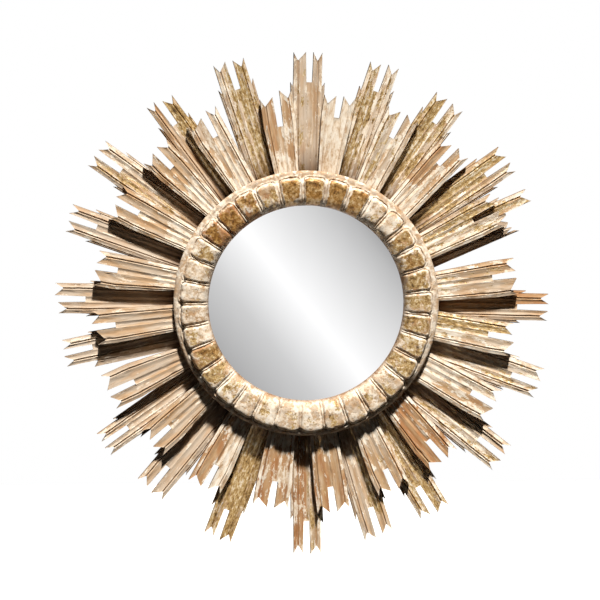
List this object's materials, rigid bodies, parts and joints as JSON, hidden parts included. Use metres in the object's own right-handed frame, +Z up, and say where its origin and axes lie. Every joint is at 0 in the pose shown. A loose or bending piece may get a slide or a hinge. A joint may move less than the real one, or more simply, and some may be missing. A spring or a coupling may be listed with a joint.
{
  "type": "sunburst wall mirror",
  "caption": "Round wall mirror in a carved ring of rounded lobes, with two layers of forked wooden rays spread around it.",
  "frame": {"origin": "centre of the backing board's rear face, which lies against the wall", "axes": "+Z up, the front of the mirror faces -Y, +X to the right seen from the front"},
  "size_m": [0.8918, 0.0737, 0.908],
  "materials": {
    "long_ray_wood": "bare carved wood with remains of white ground and worn gold leaf",
    "short_ray_wood": "bare carved wood with remains of white ground and worn gold leaf",
    "ring_gilt_wood": "carved wood with white ground and worn gold leaf",
    "backing_wood": "plain dark wood",
    "mirror_glass": "flat silvered glass"
  },
  "bodies": {
    "root": {"backing": "backing_wood", "glass": "mirror_glass", "ring": "ring_gilt_wood", "long_ray_01": "long_ray_wood", "long_ray_02": "long_ray_wood", "long_ray_03": "long_ray_wood", "long_ray_04": "long_ray_wood", "long_ray_05": "long_ray_wood", "long_ray_06": "long_ray_wood", "long_ray_07": "long_ray_wood", "long_ray_08": "long_ray_wood", "long_ray_09": "long_ray_wood", "long_ray_10": "long_ray_wood", "long_ray_11": "long_ray_wood", "long_ray_12": "long_ray_wood", "long_ray_13": "long_ray_wood", "long_ray_14": "long_ray_wood", "long_ray_15": "long_ray_wood", "long_ray_16": "long_ray_wood", "long_ray_17": "long_ray_wood", "long_ray_18": "long_ray_wood", "long_ray_19": "long_ray_wood", "long_ray_20": "long_ray_wood", "short_ray_01": "short_ray_wood", "short_ray_02": "short_ray_wood", "short_ray_03": "short_ray_wood", "short_ray_04": "short_ray_wood", "short_ray_05": "short_ray_wood", "short_ray_06": "short_ray_wood", "short_ray_07": "short_ray_wood", "short_ray_08": "short_ray_wood", "short_ray_09": "short_ray_wood", "short_ray_10": "short_ray_wood", "short_ray_11": "short_ray_wood", "short_ray_12": "short_ray_wood", "short_ray_13": "short_ray_wood", "short_ray_14": "short_ray_wood", "short_ray_15": "short_ray_wood", "short_ray_16": "short_ray_wood", "short_ray_17": "short_ray_wood", "short_ray_18": "short_ray_wood", "short_ray_19": "short_ray_wood", "short_ray_20": "short_ray_wood"}
  },
  "joints": []
}
